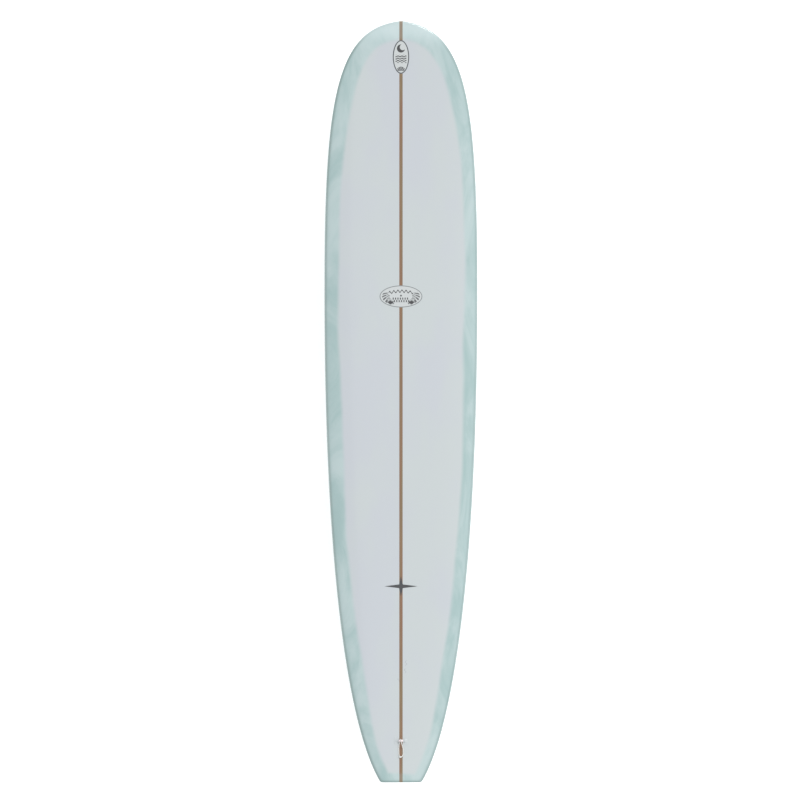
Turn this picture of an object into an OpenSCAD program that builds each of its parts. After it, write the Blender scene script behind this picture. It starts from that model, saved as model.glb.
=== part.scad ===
// Longboard surfboard: foam blank on a wooden stringer, pigmented bottom glass that laps on to the deck,
// clear deck glass, gloss coats, a long fin box with a sliding fin, and a leash loop with its string.
// +X is the right rail, +Y the nose and +Z the deck side. The origin is the low point of the bottom,
// on the stringer line at mid length. Millimetres.

/* [Outline] */
// Length from tail to nose
length = 2896; // [2800:1:3000]
// Widest width, rail to rail
width = 586; // [560:1:610]
// Widest point, ahead of mid length
wide_point = 417; // [350:1:450]
// How far the nose curve runs out sideways before it turns
nose_fullness = 250; // [220:1:290]
// How far it drops back on the way, so that the nose comes to a slight point
nose_drop = 30; // [0:1:40]
// How far the nose curve runs straight ahead of the widest point
nose_run = 740; // [600:1:800]
// How far the tail curve runs straight behind the widest point
tail_run = 1170; // [1050:1:1200]
// Length of the tail curve's last straight pull
tail_lead = 200; // [150:1:250]
// Angle of the rail to the stringer at the tail
tail_angle = 32; // [28:1:36]
// Width of the square tail
tail_width = 156; // [140:1:180]
// Radius of the tail's corners, seen from above
tail_corner = 6; // [4:1:12]

/* [Profile] */
// Thickness at mid length
thickness = 79; // [74:1:84]
// Thickness at the tip of the nose
nose_thickness = 20; // [18:1:24]
// Thickness at the end of the tail
tail_thickness = 22; // [18:1:26]
// Height of the nose above the low point of the bottom
nose_rocker = 115; // [100:1:130]
// Height of the tail above the low point of the bottom
tail_rocker = 98; // [80:1:110]
// Height of the rail's outermost line, as a share of the thickness
rail_height = 0.42; // [0.35:0.01:0.5]
// Squareness of the deck's crown, where 2 is an ellipse
deck_square = 3.2; // [2.6:0.1:3.6]
// Squareness of the bottom's cross-section
bottom_square = 4.5; // [4:0.1:5]

/* [Layers] */
// Width of the wooden stringer
stringer_width = 12.7; // [10:0.1:14]
// Thickness of the pigmented bottom glass
bottom_lamination = 0.5; // [0.4:0.1:0.7]
// Thickness of the clear deck glass
deck_lamination = 0.5; // [0.4:0.1:0.7]
// Thickness of the gloss coat where both laps lie under it
gloss = 0.4; // [0.3:0.1:0.5]
// Width of the bottom glass's lap on the deck
lap = 56; // [45:1:58]
// Depth of that lap across the nose and the tail
end_lap = 42; // [38:1:50]

/* [Fin] */
// Middle of the fin box, ahead of the tail
fin_box_from_tail = 245; // [235:1:260]
// Length of the fin box
fin_box_length = 267; // [262:1:270]
// Width of the fin box
fin_box_width = 25.4; // [24:0.1:28]
// Depth of the fin box
fin_box_depth = 25; // [24:0.5:26]
// Width of the fin's slot
slot_width = 9.4; // [9.3:0.1:9.6]
// Height of the fin below the board
fin_height = 236; // [220:1:250]

/* [Leash] */
// Middle of the leash loop, ahead of the tail
leash_from_tail = 158; // [150:1:165]
// Diameter of the leash string
string_diameter = 2.8; // [2.5:0.1:3]

/* [Hidden] */

half_length = length / 2;
half_stringer = stringer_width / 2;
skin = bottom_lamination + deck_lamination + gloss;

// ---- Outline, rocker and foil ----

nose_curve = [
    [half_stringer, half_length], [nose_fullness, half_length - nose_drop],
    [width / 2, wide_point + nose_run], [width / 2, wide_point]
];
tail_curve = [
    [width / 2, wide_point], [width / 2, wide_point - tail_run],
    [tail_width / 2 + tail_lead * sin(tail_angle), -half_length + tail_lead * cos(tail_angle)],
    [tail_width / 2, -half_length]
];

function bezier(p, t) =
    pow(1 - t, 3) * p[0] + 3 * pow(1 - t, 2) * t * p[1] + 3 * (1 - t) * t * t * p[2] + pow(t, 3) * p[3];

// The t at which a curve that runs towards the tail passes y.
function curve_t(p, y, low = 0, high = 1, steps = 30) =
    let(middle = (low + high) / 2)
    steps == 0 ? middle
    : bezier(p, middle)[1] > y ? curve_t(p, y, middle, high, steps - 1)
    : curve_t(p, y, low, middle, steps - 1);

// How far a quarter circle of radius r has still to rise, s into it.
function round_off(s, r) = s >= r ? 0 : r - sqrt(r * r - (r - s) * (r - s));

function outline(y) =
    y >= half_length ? half_stringer
    : y > wide_point ? bezier(nose_curve, curve_t(nose_curve, y))[0]
    : bezier(tail_curve, curve_t(tail_curve, y))[0] - round_off(y + half_length, tail_corner);

rocker_power = [3.2, 3];
foil_power = 3;
function rocker(y) =
    y < 0 ? tail_rocker * pow(-y / half_length, rocker_power[0])
    : nose_rocker * pow(y / half_length, rocker_power[1]);
function foil(y) =
    let(end = y < 0 ? tail_thickness : nose_thickness)
    thickness - (thickness - end) * pow(abs(y) / half_length, foil_power);
function rail_z(y) = rocker(y) + rail_height * foil(y);

// The rails close over the last few millimetres of each end.
tip_radius = 14;
tip_share = 0.35;
tail_edge_radius = 5;
tail_edge_share = 0.6;
function closing(y) =
    let(
        nose = 1 - round_off(half_length - y, tip_radius) / tip_radius,
        tail = 1 - round_off(y + half_length, tail_edge_radius) / tail_edge_radius
    )
    (tip_share + (1 - tip_share) * nose) * (tail_edge_share + (1 - tail_edge_share) * tail);

function lower_height(y) = rail_height * foil(y) * closing(y);
function upper_height(y) = (1 - rail_height) * foil(y) * closing(y);

// Share of the rise from the rail to the crown, u of the way out from the stringer.
function crown(u, square) = pow(1 - pow(min(1, max(0, u)), square), 1 / square);

function deck_z(x, y) =
    rail_z(y) + upper_height(y)
    * crown((abs(x) - half_stringer) / (outline(y) - half_stringer), deck_square);
function bottom_z(y) = rail_z(y) - lower_height(y);
function slope(z_ahead, z_behind, step) = atan2(z_ahead - z_behind, 2 * step);
function deck_slope(y) = slope(deck_z(0, y + 1), deck_z(0, y - 1), 1);
function bottom_slope(y) = slope(bottom_z(y + 1), bottom_z(y - 1), 1);

// ---- Grid of the right half: stations from tail to nose, columns from the bottom's middle to the deck's ----

nose_lap_y = half_length - lap - 5;
tail_lap_y = -half_length + end_lap;
tail_steps = 14;
nose_steps = 13;
tip_steps = 5;
tail_end = [0, 0.3, 1, 2.8];
tail_lap_t = curve_t(tail_curve, tail_lap_y);
nose_lap_t = curve_t(nose_curve, nose_lap_y);
stations = concat(
    [for (s = tail_end) -half_length + s * tail_corner],
    [for (i = [0:tail_steps]) bezier(tail_curve, tail_lap_t * (1 - i / tail_steps))[1]],
    [for (i = [1:nose_steps]) bezier(nose_curve, 1 - (1 - nose_lap_t) * i / nose_steps)[1]],
    [for (i = [1:tip_steps]) bezier(nose_curve, nose_lap_t * (1 - i / tip_steps))[1]]
);
last = len(stations) - 1;
tail_lap_station = len(tail_end);
nose_lap_station = tail_lap_station + tail_steps + nose_steps;

bottom_columns = 6;
rail_columns = 5;
deck_columns = 4;
rail_column = bottom_columns;
lap_column = rail_column + rail_columns;
deck_column = lap_column + deck_columns;
under_lap_column = 3;

// Where the lap's inner edge lies, as a share of the way out from the stringer.
least_lap_share = 0.12;
tip_lap_share = 0.7;
function lap_share(y) =
    y < tail_lap_y ? lap_share(tail_lap_y)
    : y > nose_lap_y
    ? least_lap_share + (tip_lap_share - least_lap_share) * (y - nose_lap_y) / (half_length - nose_lap_y)
    : max(
        least_lap_share,
        (min(outline(y + lap), outline(y) - lap) - half_stringer) / (outline(y) - half_stringer)
    );

// How far out a column lies, as a share of the way from the stringer to the rail.
function column_share(j, y) =
    j <= rail_column ? pow(sin(90 * j / rail_column), 2 / bottom_square)
    : j <= lap_column ? 1 - (1 - lap_share(y)) * pow((j - rail_column) / rail_columns, 2)
    : lap_share(y) * (deck_column - j) / deck_columns;

function grid_point(j, y) =
    let(u = column_share(j, y), x = half_stringer + (outline(y) - half_stringer) * u)
    y >= half_length
    ? [half_stringer, y, bottom_z(y) + (lower_height(y) + upper_height(y)) * j / deck_column]
    : j <= rail_column ? [x, y, rail_z(y) - lower_height(y) * crown(u, bottom_square)]
    : [x, y, rail_z(y) + upper_height(y) * crown(u, deck_square)];

grid = [for (y = stations) [for (j = [0:deck_column]) grid_point(j, y)]];

function unit(v) = v / norm(v);
function across(i, j) =
    j == 0 ? [1, 0, 0] : j == deck_column ? [-1, 0, 0] : grid[i][j + 1] - grid[i][j - 1];
// Outward direction at a grid point. At both ends it also moves the flat end face.
function outward(i, j) =
    i == 0 ? unit(cross([0, 1, 0], across(i, j))) + [0, -1, 0]
    : i == last ? [0, 1, 2 * j / deck_column - 1]
    : unit(cross(across(i, j), grid[i + 1][j] - grid[i - 1][j]) * -1);

// ---- Layers: how deep each surface lies under the finished one ----

function at_end(i) = i < tail_lap_station || i > nose_lap_station;
function foam_depth(i, j) = skin;
function bottom_glass_depth(i, j) = skin - (j < lap_column || at_end(i) ? bottom_lamination : 0);
function deck_glass_depth(i, j) =
    bottom_glass_depth(i, j) - (j > under_lap_column || at_end(i) ? deck_lamination : 0);

// A ring goes up the right half and down the left one.
ring = 2 * deck_column + 2;
function column(k) = k <= deck_column ? k : ring - 1 - k;
function ring_point(i, k, depth) =
    let(j = column(k), p = grid[i][j] - depth * outward(i, j))
    [k <= deck_column ? p[0] : -p[0], p[1], p[2]];

foam_surface = [for (i = [0:last]) for (k = [0:ring - 1]) ring_point(i, k, foam_depth(i, column(k)))];
over_bottom_glass =
    [for (i = [0:last]) for (k = [0:ring - 1]) ring_point(i, k, bottom_glass_depth(i, column(k)))];
over_deck_glass =
    [for (i = [0:last]) for (k = [0:ring - 1]) ring_point(i, k, deck_glass_depth(i, column(k)))];
finished_surface = [for (i = [0:last]) for (k = [0:ring - 1]) ring_point(i, k, 0)];

function index(i, k) = i * ring + k % ring;
function cell_column(k) = k <= deck_column ? k : ring - 2 - k;
function cell(i, k) =
    let(a = index(i, k), b = index(i, k + 1), c = index(i + 1, k + 1), d = index(i + 1, k))
    k <= deck_column ? [[a, b, c], [a, c, d]] : [[a, b, d], [b, c, d]];
function end_strips(i, from, to) = [
    for (j = [from:to - 1])
        let(a = index(i, j), b = index(i, ring - 1 - j), c = index(i, ring - 2 - j), d = index(i, j + 1))
        each [[a, b, c], [a, c, d]]
];
function turned(faces) = [for (f = faces) [f[2], f[1], f[0]]];
function moved(faces, by) = [for (f = faces) [f[0] + by, f[1] + by, f[2] + by]];

// A skin between two surfaces, over the cells and the end strips that it covers.
module skin_solid(inside, outside, cells, ends, rim = []) {
    count = len(outside);
    faces = concat(cells, end_strips(0, ends[0], ends[1]), turned(end_strips(last, ends[0], ends[1])));
    polyhedron(
        points = concat(outside, inside),
        faces = concat(
            faces,
            moved(turned(faces), count),
            [for (e = rim) each [[e[0], e[0] + count, e[1] + count], [e[0], e[1] + count, e[1]]]]
        )
    );
}

function covered(from, to, whole_ends) = [
    for (i = [0:last - 1]) for (k = [0:ring - 1])
        let(j = cell_column(k))
        if ((j >= from && j < to) || (whole_ends && (i < tail_lap_station || i >= nose_lap_station)))
            each cell(i, k)
];

// The rim where the two gloss coats meet, as edges that run round the board.
rim_loop = concat(
    [for (i = [0:last]) index(i, rail_column)],
    [for (i = [last:-1:0]) index(i, ring - 1 - rail_column)]
);
rim_edges = [for (n = [0:len(rim_loop) - 1]) [rim_loop[n], rim_loop[(n + 1) % len(rim_loop)]]];
function reversed(edges) = [for (e = edges) [e[1], e[0]]];

// ---- Board ----

// Half of the foam, from the stringer's face out to the rail.
module blank_half(right) {
    from = right ? 0 : deck_column + 1;
    to = right ? deck_column - 1 : ring - 2;
    lower = right ? 0 : ring - 1;
    upper = right ? deck_column : deck_column + 1;
    // At the tip of the nose the foam narrows to a line on the wall, so one triangle there is left out.
    wall = concat(
        [
            for (i = [0:last - 2]) each [
                [index(i, lower), index(i + 1, lower), index(i + 1, upper)],
                [index(i, lower), index(i + 1, upper), index(i, upper)]
            ]
        ],
        [
            for (j = [1:deck_column - 1])
                [index(last - 1, lower), index(last, abs(lower - j)), index(last, abs(lower - j - 1))]
        ],
        [[index(last - 1, lower), index(last, upper), index(last - 1, upper)]]
    );
    tail_face = [
        for (j = [1:deck_column - 1]) [index(0, lower), index(0, abs(lower - j - 1)), index(0, abs(lower - j))]
    ];
    polyhedron(
        points = foam_surface,
        faces = concat(
            [
                for (i = [0:last - 1]) for (k = [from:to])
                    each i == last - 1 && cell_column(k) == 0 ? [cell(i, k)[0]] : cell(i, k)
            ],
            right ? wall : turned(wall),
            right ? tail_face : turned(tail_face)
        )
    );
}

module blank_with_pocket(right) {
    color("ivory") difference() {
        blank_half(right);
        fin_box_pocket();
    }
}

// Side view of the board along the stringer, as [y, z] points.
function side_view(surface) = concat(
    [for (i = [0:last]) let(p = surface[index(i, 0)]) [p[1], p[2]]],
    [for (i = [last:-1:0]) let(p = surface[index(i, deck_column)]) [p[1], p[2]]]
);

module side_plate(surface, plate_width) {
    rotate([90, 0, 90]) linear_extrude(height = plate_width, center = true) polygon(side_view(surface));
}

module stringer() {
    color("peru") difference() {
        side_plate(foam_surface, stringer_width);
        fin_box_pocket();
    }
}

module bottom_glass() {
    color("powderblue") difference() {
        skin_solid(foam_surface, over_bottom_glass, covered(-1, lap_column, true), [0, deck_column]);
        fin_box_pocket();
    }
}

module deck_glass() {
    color("whitesmoke") skin_solid(
        over_bottom_glass, over_deck_glass, covered(under_lap_column, deck_column + 1, true), [0, deck_column]
    );
}

module bottom_gloss_coat() {
    color("lightcyan") difference() {
        skin_solid(
            over_deck_glass, finished_surface, covered(-1, rail_column, false), [0, rail_column], rim_edges
        );
        fin_box_pocket();
    }
}

module deck_gloss_coat() {
    color("white") skin_solid(
        over_deck_glass, finished_surface, covered(rail_column, deck_column + 1, false),
        [rail_column, deck_column], reversed(rim_edges)
    );
}

// ---- Fin box, in its own frame: origin at its mouth, +Z into the board, +Y towards the nose ----

fin_box_y = -half_length + fin_box_from_tail;
fin_box_tilt = bottom_slope(fin_box_y);
resin_width = 2;
resin_gap = 0.2;
proud = 12;
slot_length = fin_box_length - 22;
slot_depth = 22;
lip = 4.5;
groove_width = 14.6;
groove_height = 4.5;
drop_in_length = 14;
drop_in_y = 46;

module in_fin_box() {
    translate([0, fin_box_y, bottom_z(fin_box_y)]) rotate([fin_box_tilt, 0, 0]) children();
}

// A bar with round ends along Y, from z = from up to z = to.
module round_bar(bar_length, bar_width, from, to) {
    half = (bar_length - bar_width) / 2;
    translate([-bar_width / 2, -half, from]) cube([bar_width, 2 * half, to - from]);
    for (side = [-1, 1])
        translate([0, side * half, from]) cylinder(d = bar_width, h = to - from, $fn = 64);
}

// The pocket has flat sides, so that the faceted layers that it cuts keep flat faces only.
function round_bar_outline(bar_length, bar_width, sides) = [
    for (n = [0:sides])
        let(a = 180 * n / sides) [bar_width / 2 * cos(a), (bar_length - bar_width) / 2 + bar_width / 2 * sin(a)],
    for (n = [0:sides])
        let(a = 180 + 180 * n / sides)
        [bar_width / 2 * cos(a), -(bar_length - bar_width) / 2 + bar_width / 2 * sin(a)]
];

module fin_box_pocket() {
    grow = 2 * (resin_width + resin_gap);
    in_fin_box() translate([0, 0, -proud]) linear_extrude(height = proud + fin_box_depth + grow / 2)
        polygon(round_bar_outline(fin_box_length + grow, fin_box_width + grow, 12));
}

// What stands out of the bottom is sanded off flush.
module sanded_flush() {
    intersection() {
        in_fin_box() children();
        side_plate(finished_surface, 2 * fin_box_width);
    }
}

module fin_box() {
    color("white") sanded_flush() difference() {
        round_bar(fin_box_length, fin_box_width, -proud, fin_box_depth);
        round_bar(slot_length, slot_width, -proud - 1, slot_depth);
        translate([-groove_width / 2, -slot_length / 2 + slot_width / 2, lip])
            cube([groove_width, slot_length - slot_width, groove_height]);
        translate([-groove_width / 2, drop_in_y, -proud - 1])
            cube([groove_width, drop_in_length, proud + 1 + lip + 1]);
    }
}

module fin_box_resin() {
    color("azure") sanded_flush() difference() {
        round_bar(fin_box_length + 2 * resin_width, fin_box_width + 2 * resin_width, -proud, fin_box_depth + resin_width);
        round_bar(fin_box_length + 0.1, fin_box_width + 0.1, -proud - 1, fin_box_depth + 0.05);
    }
}

// ---- Fin, in the fin box's frame ----

fin_thickness = 9.1;
fin_base_depth = 20.5;
fin_front = 84;
fin_back = -82;
tab_length = 22;
tab_thickness = 4.2;
pin_radius = 2;
pin_y = fin_back + 12;
groove_middle = lip + groove_height / 2;
screw_y = fin_front + 12;
screw_radius = 2;
screw_clearance = 0.05;
head_radius = 4;
head_height = 2.2;
plate_size = [13.8, 13, 3];
plate_gap = 0.05;

leading_edge = [[fin_front, 0], [64, -0.4 * fin_height], [22, -fin_height], [-62, -fin_height]];
trailing_edge = [[fin_back, 0], [-58, -0.27 * fin_height], [-122, -0.68 * fin_height], [-84, -0.985 * fin_height]];
fin_steps = 14;
foil_steps = 10;

// The tip's trailing corner is rounded off over the last stretch of the blade.
fin_tip_run = 0.14;
fin_tip_share = 0.6;
function trailing_point(t) =
    let(
        ahead = bezier(leading_edge, t), behind = bezier(trailing_edge, t),
        into = max(0, (t - 1 + fin_tip_run) / fin_tip_run)
    )
    behind + (ahead - behind) * fin_tip_share * (1 - sqrt(max(0, 1 - into * into)));

// Half thickness of the blade at a share s of the chord, for a section of thickness t.
function blade_half(s, t) = t / 2 * max(0.16, 2.6 * (sqrt(s) * (1 - s)) * (1 - 0.15 * s));

// A ring round the fin: along the left face from the leading edge, and back along the right one.
function fin_ring(front, back, half_thickness) = concat(
    [
        for (n = [0:foil_steps])
            let(s = n / foil_steps, p = front + (back - front) * s) [-half_thickness(s), p[0], p[1]]
    ],
    [
        for (n = [foil_steps:-1:0])
            let(s = n / foil_steps, p = front + (back - front) * s) [half_thickness(s), p[0], p[1]]
    ]
);

// The blade starts a little way inside the base, so that the two make one solid.
blade_root = 1;
fin_rings = [
    for (n = [-1:fin_steps])
        let(t = max(0, n / fin_steps), root = [0, n < 0 ? blade_root : 0], share = 0.97 - 0.63 * t)
        fin_ring(
            bezier(leading_edge, t) + root, trailing_point(t) + root,
            function(s) blade_half(s, fin_thickness * share)
        )
];

// Two triangles of a ring's flat cap, between its two halves.
function cap_pair(base, k, count) =
    let(a = base + k, b = base + k + 1, c = base + count - 2 - k, d = base + count - 1 - k)
    [[a, b, c], [a, c, d]];

// A closed solid through a list of rings that all have the same even number of points.
module ring_solid(rings) {
    count = len(rings[0]);
    polyhedron(
        points = [for (r = rings) each r],
        faces = concat(
            [
                for (i = [0:len(rings) - 2]) for (k = [0:count - 1])
                    let(a = i * count + k, b = i * count + (k + 1) % count)
                    each [[a, b, b + count], [a, b + count, a + count]]
            ],
            [for (k = [0:count / 2 - 2]) each turned(cap_pair(0, k, count))],
            [for (k = [0:count / 2 - 2]) each cap_pair((len(rings) - 1) * count, k, count)]
        )
    );
}

module fin() {
    color("aquamarine") in_fin_box() difference() {
        union() {
            ring_solid(fin_rings);
            translate([-fin_thickness / 2, fin_back, 0])
                cube([fin_thickness, fin_front - fin_back, fin_base_depth]);
            translate([-fin_thickness / 2, fin_front - 1, 0])
                cube([fin_thickness, tab_length, tab_thickness]);
        }
        translate([0, pin_y, groove_middle]) rotate([0, 90, 0])
            cylinder(r = pin_radius + screw_clearance, h = 2 * fin_thickness, center = true, $fn = 48);
        translate([0, screw_y, -1])
            cylinder(r = screw_radius + 0.3, h = tab_thickness + 2, $fn = 48);
        translate([0, screw_y, -1]) cylinder(r = head_radius + 0.2, h = 1 + head_height, $fn = 48);
    }
}

module fin_pin() {
    color("goldenrod") in_fin_box() translate([0, pin_y, groove_middle]) rotate([0, 90, 0])
        cylinder(r = pin_radius, h = groove_width - 0.8, center = true, $fn = 48);
}

module fin_plate() {
    color("silver") in_fin_box() translate([0, screw_y, lip + plate_gap]) difference() {
        translate([-plate_size[0] / 2, -plate_size[1] / 2, 0]) cube(plate_size);
        translate([0, 0, -1]) cylinder(r = screw_radius + screw_clearance, h = plate_size[2] + 2, $fn = 48);
    }
}

module fin_screw() {
    color("silver") in_fin_box() translate([0, screw_y, 0.1]) difference() {
        union() {
            cylinder(r = head_radius, h = head_height - 0.2, $fn = 48);
            cylinder(r = screw_radius, h = 16, $fn = 48);
        }
        for (turn = [0, 90])
            rotate([0, 0, turn]) translate([-2.4, -0.5, -1]) cube([4.8, 1, 2.3]);
    }
}

// ---- Leash loop, in its own frame: origin on the deck, +Z away from it ----

leash_y = -half_length + leash_from_tail;
loop_width = 8;
loop_inner_radius = 8.5;
loop_outer_radius = 12;
foot_length = 15;
foot_height = 2.4;
deck_gap = 0.3;

module on_deck(y) {
    translate([0, y, deck_z(0, y)]) rotate([deck_slope(y), 0, 0]) children();
}

module leash_loop() {
    color("mistyrose") on_deck(leash_y) translate([0, 0, deck_gap]) rotate([90, 0, 0]) {
        intersection() {
            difference() {
                cylinder(r = loop_outer_radius, h = loop_width, center = true, $fn = 96);
                cylinder(r = loop_inner_radius, h = 2 * loop_width, center = true, $fn = 96);
            }
            translate([0, loop_outer_radius, 0]) cube(2 * loop_outer_radius, center = true);
        }
        for (side = [-1, 1]) {
            middle = side * (loop_inner_radius + foot_length / 2);
            translate([middle, foot_height / 2, 0]) cube([foot_length, foot_height, loop_width], center = true);
        }
    }
}

// Small sheets of glass cloth over the loop's feet.
patch_thickness = 0.4;
patch_length = 12;
patch_width = 26;
module leash_loop_patches() {
    color("whitesmoke") on_deck(leash_y) for (side = [-1, 1]) {
        middle = side * (loop_outer_radius + 1 + patch_length / 2);
        translate([middle, 0, deck_gap + foot_height + 0.05 + patch_thickness / 2])
            cube([patch_length, loop_width, patch_thickness], center = true);
        for (end = [-1, 1])
            translate([middle, end * (loop_width + patch_width) / 4 + end * 0.1, deck_gap + patch_thickness / 2])
                cube([patch_length, (patch_width - loop_width) / 2, patch_thickness], center = true);
    }
}

// Centre line of the leash string: x, y ahead of the loop's middle, and height above the deck's plane there.
// It leaves the knot, runs under the loop's crown, turns back over it and returns to the knot.
crown_turn = 6.2;
crown_height = 10.4;
string_route = concat(
    [
        [-3.5, -61.5, 3.8], [-6.2, -57.6, 3], [-7.8, -50.5, 2.2], [-8.4, -41, 2], [-8.4, -32, 2],
        [-7.9, -24, 2], [-6.9, -16.5, 2.3], [-5.6, -9.5, 3.1], [-3.8, -4, 3.9]
    ],
    [
        for (a = [0:30:180])
            [-3 + 3.2 * a / 180, crown_turn * sin(a), crown_height - crown_turn * cos(a)]
    ],
    [
        [0.9, -5.5, 16.2], [2.5, -11.5, 14], [4.6, -18, 10.6], [6.6, -25, 7], [8, -32, 4.2],
        [8.8, -39.5, 2.5], [8.8, -47, 2], [7.6, -53.6, 2.2], [4.6, -59, 3.1], [-0.5, -61.8, 3.8]
    ]
);
string_sides = 8;

// Rings square to the route, each turned so that its first point lies sideways.
function route_direction(i) =
    let(n = len(string_route) - 1) unit(string_route[min(n, i + 1)] - string_route[max(0, i - 1)]);
function side_of(direction) = unit(cross(direction, cross([1, 0, 0.02], direction)));
string_rings = [
    for (i = [0:len(string_route) - 1])
        let(d = route_direction(i), a = side_of(d), b = cross(d, a))
        [
            for (n = [0:string_sides - 1])
                let(turn = 360 * n / string_sides)
                string_route[i] + string_diameter / 2 * (cos(turn) * a + sin(turn) * b)
        ]
];

module leash_string() {
    color("white") on_deck(leash_y) ring_solid([for (r = string_rings) [for (n = [string_sides - 1:-1:0]) r[n]]]);
}

module leash_knot() {
    color("white") on_deck(leash_y) translate([-2, -61.7, 4.2]) rotate([0, 90, 0])
        cylinder(d = 7, h = 9, center = true, $fn = 48);
}

// ---- Decals, thin sheets that follow the deck ----

decal_thickness = 0.2;
decal_lift = 0.15;
decal_sides = 36;
decal_rings = 3;

module oval_decal(y, size_x, size_y) {
    function layer(lift) = concat(
        [[0, y, deck_z(0, y) + lift]],
        [
            for (r = [1:decal_rings]) for (n = [0:decal_sides - 1])
                let(
                    a = 360 * n / decal_sides,
                    px = size_x / 2 * r / decal_rings * cos(a),
                    py = y + size_y / 2 * r / decal_rings * sin(a)
                )
                [px, py, deck_z(px, py) + lift]
        ]
    );
    count = 1 + decal_rings * decal_sides;
    function spot(r, n) = r == 0 ? 0 : 1 + (r - 1) * decal_sides + n % decal_sides;
    top = [
        for (n = [0:decal_sides - 1]) [0, spot(1, n + 1), spot(1, n)],
        for (r = [1:decal_rings - 1]) for (n = [0:decal_sides - 1]) each [
            [spot(r, n), spot(r, n + 1), spot(r + 1, n + 1)], [spot(r, n), spot(r + 1, n + 1), spot(r + 1, n)]
        ]
    ];
    edge = [
        for (n = [0:decal_sides - 1])
            let(a = spot(decal_rings, n), b = spot(decal_rings, n + 1))
            each [[a, b, b + count], [a, b + count, a + count]]
    ];
    polyhedron(
        points = concat(layer(decal_lift + decal_thickness), layer(decal_lift)),
        faces = concat(top, moved(turned(top), count), edge)
    );
}

module nose_decal() {
    color("gainsboro") oval_decal(1312, 63, 127);
}

module centre_decal() {
    color("gainsboro") oval_decal(402, 163, 84);
}

// A slender four-pointed star.
module tail_decal() {
    tips = [[0, 38], [7, 7], [63, 0], [7, -7], [0, -38], [-7, -7], [-63, 0], [-7, 7]];
    color("dimgray") on_deck(-703) translate([0, 0, 2 * decal_lift])
        linear_extrude(height = decal_thickness) polygon(tips);
}

blank_with_pocket(false);  // blank_left
blank_with_pocket(true);  // blank_right
stringer();
bottom_glass();
deck_glass();
bottom_gloss_coat();
deck_gloss_coat();
fin_box();
fin_box_resin();
fin();
fin_pin();
fin_plate();
fin_screw();
leash_loop();
leash_loop_patches();
leash_string();
leash_knot();
nose_decal();
centre_decal();
tail_decal();
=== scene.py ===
"""Longboard: glossy tinted laps over pale foam, a wooden stringer, a centre fin in its box, and a leash loop.

Metres, +X the right rail, +Y the nose, +Z the deck side, origin under the middle of the bottom.
"""

import math

import bpy
import numpy as np
from mathutils import Matrix, Vector


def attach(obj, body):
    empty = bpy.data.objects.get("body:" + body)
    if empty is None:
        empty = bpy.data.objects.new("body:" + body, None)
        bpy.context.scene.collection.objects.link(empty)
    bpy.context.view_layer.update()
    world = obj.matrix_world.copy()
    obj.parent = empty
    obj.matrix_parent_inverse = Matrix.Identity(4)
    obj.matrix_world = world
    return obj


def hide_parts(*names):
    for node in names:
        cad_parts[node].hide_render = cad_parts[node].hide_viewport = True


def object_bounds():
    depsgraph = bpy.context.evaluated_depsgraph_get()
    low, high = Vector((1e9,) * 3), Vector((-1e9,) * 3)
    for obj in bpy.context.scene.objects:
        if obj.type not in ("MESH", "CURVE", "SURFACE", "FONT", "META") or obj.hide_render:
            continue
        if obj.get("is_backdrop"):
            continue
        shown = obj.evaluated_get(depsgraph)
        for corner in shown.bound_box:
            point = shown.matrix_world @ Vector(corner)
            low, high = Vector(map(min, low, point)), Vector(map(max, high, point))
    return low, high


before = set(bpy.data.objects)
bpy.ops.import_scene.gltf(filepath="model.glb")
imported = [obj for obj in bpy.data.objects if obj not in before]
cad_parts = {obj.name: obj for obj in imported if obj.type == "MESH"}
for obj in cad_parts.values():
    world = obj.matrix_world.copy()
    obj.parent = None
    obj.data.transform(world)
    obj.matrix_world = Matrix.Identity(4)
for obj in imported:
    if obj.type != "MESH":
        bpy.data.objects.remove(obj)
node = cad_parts
low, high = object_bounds()

# ---- Sizes of the board ----

HALF_LENGTH = (high.y - low.y) / 2
HALF_WIDTH = (high.x - low.x) / 2
STRINGER_HALF = 0.00635
WIDE_POINT = 0.417
NOSE_FULLNESS, NOSE_DROP, NOSE_RUN = 0.25, 0.03, 0.74
TAIL_RUN, TAIL_LEAD, TAIL_ANGLE = 1.17, 0.2, math.radians(32)
TAIL_HALF_WIDTH, TAIL_CORNER = 0.078, 0.006
THICKNESS, NOSE_THICKNESS, TAIL_THICKNESS, FOIL_POWER = 0.079, 0.02, 0.022, 3
NOSE_ROCKER, TAIL_ROCKER, NOSE_ROCKER_POWER, TAIL_ROCKER_POWER = 0.115, 0.098, 3, 3.2
RAIL_HEIGHT = 0.42
DECK_SQUARE, BOTTOM_SQUARE = 3.2, 4.5
TIP_RADIUS, TIP_SHARE, TAIL_EDGE_RADIUS, TAIL_EDGE_SHARE = 0.014, 0.35, 0.005, 0.6
SKIN = 0.0012
LAP, TAIL_LAP = 0.056, 0.046

FIN_BOX_Y = -HALF_LENGTH + 0.245
LEASH_Y = -HALF_LENGTH + 0.158
STRING_DIAMETER = 0.0028

NOSE_CURVE = [
    (STRINGER_HALF, HALF_LENGTH), (NOSE_FULLNESS, HALF_LENGTH - NOSE_DROP),
    (HALF_WIDTH, WIDE_POINT + NOSE_RUN), (HALF_WIDTH, WIDE_POINT),
]
TAIL_CURVE = [
    (HALF_WIDTH, WIDE_POINT), (HALF_WIDTH, WIDE_POINT - TAIL_RUN),
    (TAIL_HALF_WIDTH + TAIL_LEAD * math.sin(TAIL_ANGLE), -HALF_LENGTH + TAIL_LEAD * math.cos(TAIL_ANGLE)),
    (TAIL_HALF_WIDTH, -HALF_LENGTH),
]


def bezier(points, t):
    """A point on a cubic curve."""
    a, b, c, d = (Vector(p) for p in points)
    return (1 - t) ** 3 * a + 3 * (1 - t) ** 2 * t * b + 3 * (1 - t) * t * t * c + t**3 * d


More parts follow.
